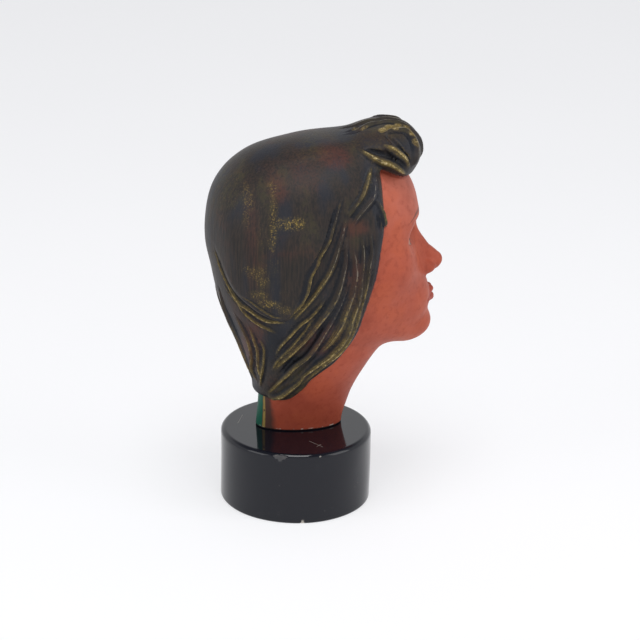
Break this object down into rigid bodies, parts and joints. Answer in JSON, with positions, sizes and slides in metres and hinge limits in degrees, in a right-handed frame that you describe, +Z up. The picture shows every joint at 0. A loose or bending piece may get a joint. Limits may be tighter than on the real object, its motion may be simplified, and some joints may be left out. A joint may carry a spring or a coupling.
{
  "type": "terracotta bust",
  "caption": "Painted terracotta bust of a young person with swept-back hair on a round black glazed plinth.",
  "frame": {"origin": "centre of the plinth's flat underside", "axes": "+Z up through the plinth's axis, the face looks along -Y, the bust's left side is +X"},
  "size_m": [0.1191, 0.1481, 0.2442],
  "materials": {
    "black_glaze": "glossy",
    "terracotta": "satin"
  },
  "bodies": {
    "root": {"plinth": "black_glaze", "head": "terracotta"}
  },
  "joints": []
}
